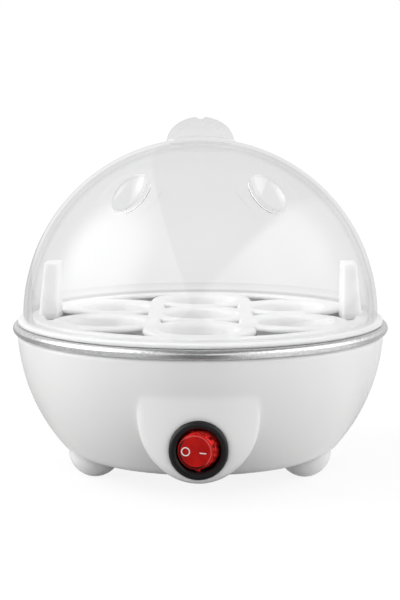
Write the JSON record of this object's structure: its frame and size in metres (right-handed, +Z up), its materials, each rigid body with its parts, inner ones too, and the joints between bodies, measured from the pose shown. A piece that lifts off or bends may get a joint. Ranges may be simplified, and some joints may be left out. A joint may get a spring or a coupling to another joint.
{
  "type": "electric egg cooker",
  "caption": "Round electric egg cooker: white bowl base with ball feet and a front rocker switch, steel water dish, lift-out egg tray with handles and a clear dome lid with a fin knob.",
  "frame": {"origin": "on the floor the feet stand on, under the centre of the rolled rim", "axes": "+Z up along the dome's axis, the switch faces -Y, +X to the right as seen from the front"},
  "size_m": [0.16, 0.16, 0.1495],
  "materials": {
    "housing_white": "glossy white moulding",
    "tray_white": "satin white moulding",
    "lid_clear": "clear polished moulding",
    "dish_steel": "drawn and brushed sheet",
    "switch_black": "fine matt black moulding",
    "rocker_red": "tinted red moulding",
    "lamp_glass": "clear bulb",
    "contact_brass": "plain",
    "spring_steel": "plain wire",
    "screw_steel": "zinc plated",
    "spreader_aluminium": "cast",
    "element_steel": "dull sheath",
    "ceramic_white": null,
    "gland_black": "soft matt",
    "phenolic_brown": "moulded phenolic",
    "sleeve_fibre": "woven glass sleeve",
    "lead_brown": "wire insulation",
    "lead_blue": "wire insulation",
    "lead_white": "heat-proof wire insulation"
  },
  "bodies": {
    "base": {"base_housing": "housing_white", "bottom_cover": "housing_white", "bottom_cover_screws": "screw_steel", "heating_dish": "dish_steel", "dish_studs": "spreader_aluminium", "dish_screws": "screw_steel", "heat_spreader": "spreader_aluminium", "heater_ring": "element_steel", "heater_insulators": "ceramic_white", "heater_pins": "spring_steel", "thermostat_cap": "spreader_aluminium", "thermostat_body": "phenolic_brown", "thermostat_terminals": "contact_brass", "thermostat_clip": "spring_steel", "thermal_fuse": "contact_brass", "fuse_sleeve": "sleeve_fibre", "fuse_clip": "spring_steel", "clip_screws": "screw_steel", "terminal_block": "ceramic_white", "terminal_screws": "screw_steel", "terminal_block_screw": "screw_steel", "cord_gland": "gland_black", "switch_housing": "switch_black", "switch_terminals": "contact_brass", "live_lead": "lead_brown", "lamp_lead": "lead_blue", "neutral_lead": "lead_blue", "switched_lead": "lead_brown", "thermostat_lead": "lead_white", "element_lead": "lead_white"},
    "tray": {"egg_tray": "tray_white"},
    "lid": {"lid": "lid_clear"},
    "rocker": {"switch_rocker": "rocker_red", "switch_plunger": "phenolic_brown", "switch_spring": "spring_steel", "switch_lamp": "lamp_glass"},
    "lever": {"contact_lever": "contact_brass"}
  },
  "joints": [
    {"name": "tray_lift", "type": "slide", "parent": "base", "child": "tray", "axis": [0, 0, 1], "range_m": [0, 0.08]},
    {"name": "lid_lift", "type": "slide", "parent": "tray", "child": "lid", "axis": [0, 0, 1], "range_m": [0, 0.1]},
    {"name": "rocker_tilt", "type": "hinge", "parent": "base", "child": "rocker", "pos_m": [0, -0.07251, 0.0235], "axis": [0, 0, 1], "range_deg": [0, 24]},
    {"name": "lever_tilt", "type": "hinge", "parent": "base", "child": "lever", "pos_m": [0, -0.06451, 0.0235], "axis": [0, 0, 1], "range_deg": [-12, 0]}
  ],
  "couplings": [
    {"joint": "lever_tilt", "follows": "rocker_tilt", "ratio": -0.5}
  ]
}
